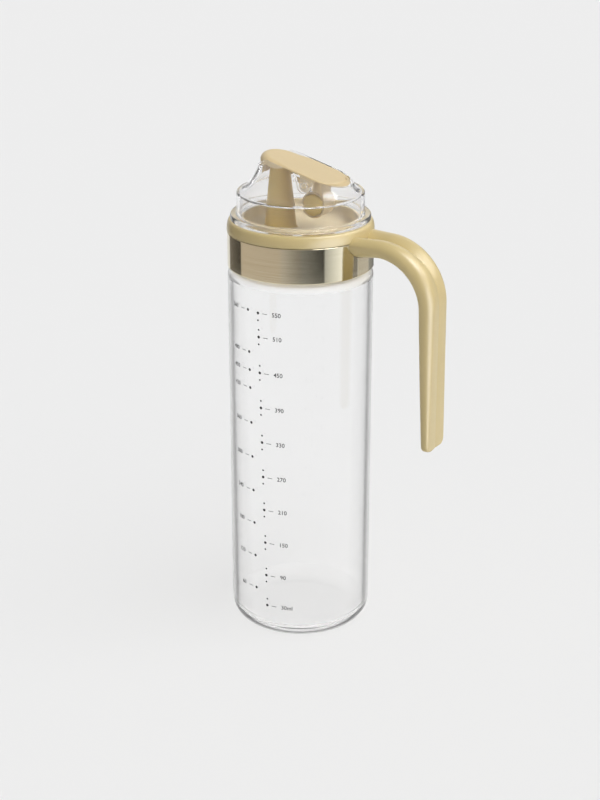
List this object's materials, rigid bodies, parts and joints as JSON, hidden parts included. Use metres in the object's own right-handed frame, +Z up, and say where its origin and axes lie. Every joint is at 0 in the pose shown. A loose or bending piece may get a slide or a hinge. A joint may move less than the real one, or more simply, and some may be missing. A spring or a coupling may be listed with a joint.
{
  "type": "oil cruet",
  "caption": "Clear glass oil cruet with a printed level scale, metal band, cream collar and curved handle, clear domed top and a weighted flip lid over its pouring spout.",
  "frame": {"origin": "centre of the flat base, on the bottle's axis", "axes": "+Z up along the bottle's axis, +X towards the handle, the spout pours towards -X"},
  "size_m": [0.1097, 0.0704, 0.2398],
  "materials": {
    "glass": "clear, smooth, printed level scale",
    "band": "polished, warm champagne tone",
    "cream": "satin cream",
    "clear": "clear, glossy",
    "weight": "satin cream cap over a metal core"
  },
  "bodies": {
    "cruet": {"glass_bottle": "glass", "steel_band": "band", "collar_handle": "cream", "pour_deck": "cream", "clear_dome": "clear"},
    "lid": {"flip_lid": "cream", "counterweight": "weight"}
  },
  "joints": [
    {"name": "lid_flip", "type": "hinge", "parent": "cruet", "child": "lid", "pos_m": [0.0092, 0, 0.2284], "axis": [0, 1, 0], "range_deg": [0, 35]}
  ]
}
